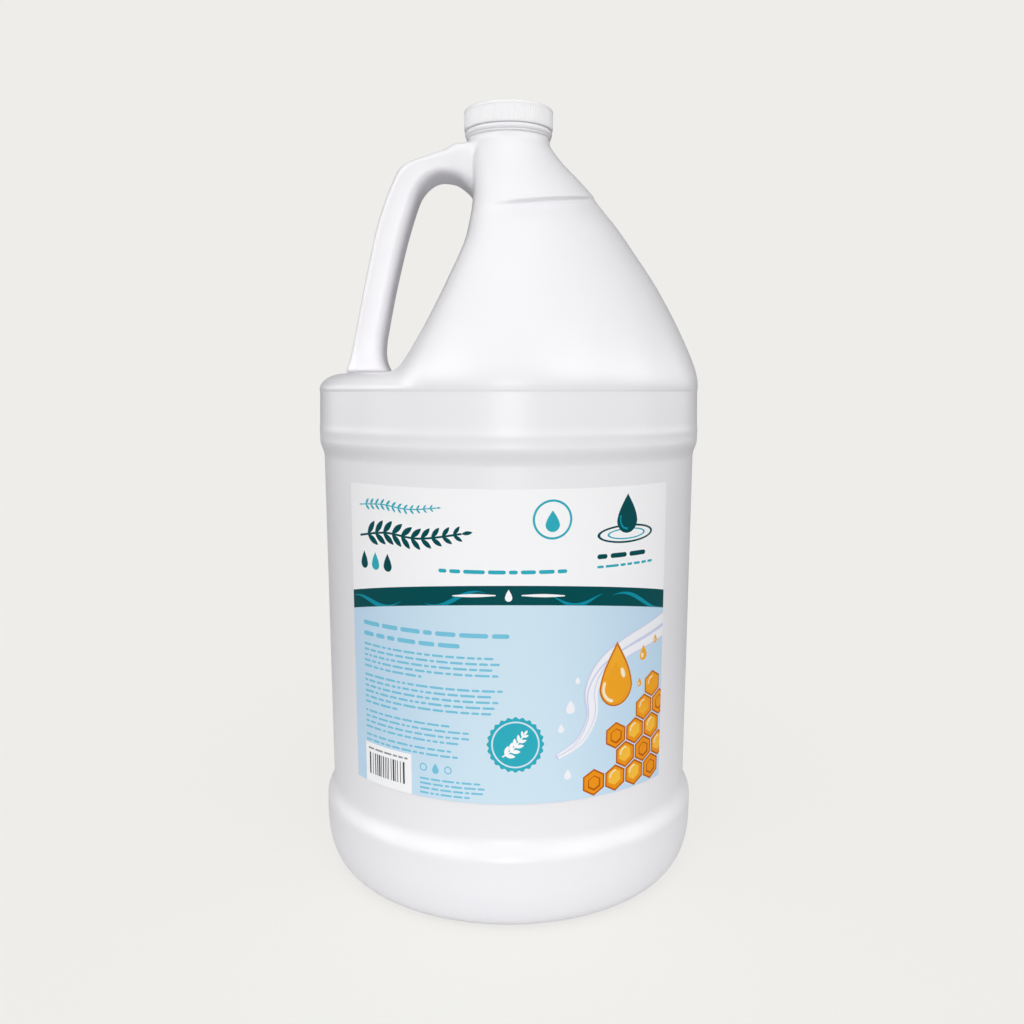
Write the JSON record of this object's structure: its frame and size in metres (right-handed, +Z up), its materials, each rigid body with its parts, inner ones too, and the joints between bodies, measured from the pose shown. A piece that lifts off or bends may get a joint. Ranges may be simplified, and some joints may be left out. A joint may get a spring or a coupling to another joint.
{
  "type": "one-gallon handled jug",
  "caption": "Round one-gallon blow-moulded jug with a loop handle, a printed wrap label and a ribbed screw cap with its sealing liner, for massage oil.",
  "frame": {"origin": "centre of the base, on the surface the jug stands on", "axes": "+Z up along the neck's axis, -X towards the handle, -Y out of the middle of the label"},
  "size_m": [0.1524, 0.1524, 0.3028],
  "materials": {
    "hdpe_white": "satin natural white high-density polyethylene",
    "pp_white": "satin moulded white polypropylene",
    "liner_foam": "matt closed-cell foam",
    "label_film": "glossy printed film, white and pale blue with a dark teal band"
  },
  "bodies": {
    "jug_body": {"jug": "hdpe_white", "label": "label_film"},
    "liner_body": {"cap_liner": "liner_foam"},
    "cap_body": {"screw_cap": "pp_white"}
  },
  "joints": [
    {"name": "cap_lift", "type": "slide", "parent": "jug_body", "child": "liner_body", "axis": [0, 0, 1], "range_m": [0, 0.00635]},
    {"name": "cap_turn", "type": "hinge", "parent": "liner_body", "child": "cap_body", "pos_m": [0, 0, 0.2985], "axis": [0, 0, 1], "range_deg": [0, 540]}
  ],
  "couplings": [
    {"joint": "cap_lift", "follows": "cap_turn", "m_per_rad": 0.00067323}
  ]
}
